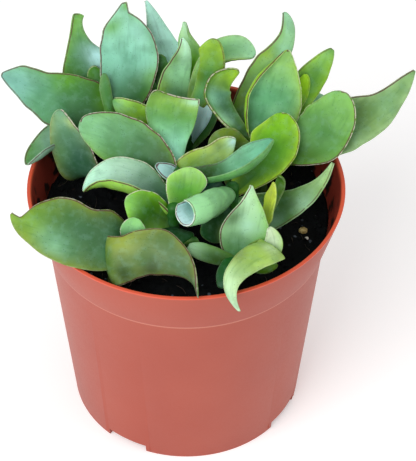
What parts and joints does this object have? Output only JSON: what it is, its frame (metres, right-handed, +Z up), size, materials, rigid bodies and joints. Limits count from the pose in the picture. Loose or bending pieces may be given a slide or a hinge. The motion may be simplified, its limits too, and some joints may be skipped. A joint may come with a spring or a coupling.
{
  "type": "potted succulent",
  "caption": "Wavy-leaved ripple jade succulent on several leafy stems, standing in soil in a round tapered plastic nursery pot with a flared rim band.",
  "frame": {"origin": "middle of the pot's flat underside, on the surface that the pot stands on", "axes": "+Z up along the pot's axis, +X to the right of the plant's front, +Y away from its front"},
  "size_m": [0.1377, 0.1143, 0.1344],
  "materials": {
    "pot_plastic": "satin moulded plastic, terracotta colour",
    "potting_soil": "damp dark peat with fine fibres and specks",
    "succulent_leaf": "waxy green leaf with a pale bloom and a thin dark margin",
    "tan_stone": "rough tan pebble",
    "pale_stone": "rough off-white perlite"
  },
  "bodies": {
    "root": {"pot": "pot_plastic", "soil": "potting_soil", "stem_back_left": "succulent_leaf", "stem_back": "succulent_leaf", "stem_back_right": "succulent_leaf", "stem_centre": "succulent_leaf", "stem_right": "succulent_leaf", "stem_front": "succulent_leaf", "stem_front_left": "succulent_leaf", "stem_front_right": "succulent_leaf", "pebble": "tan_stone", "perlite_grain": "pale_stone"}
  },
  "joints": []
}
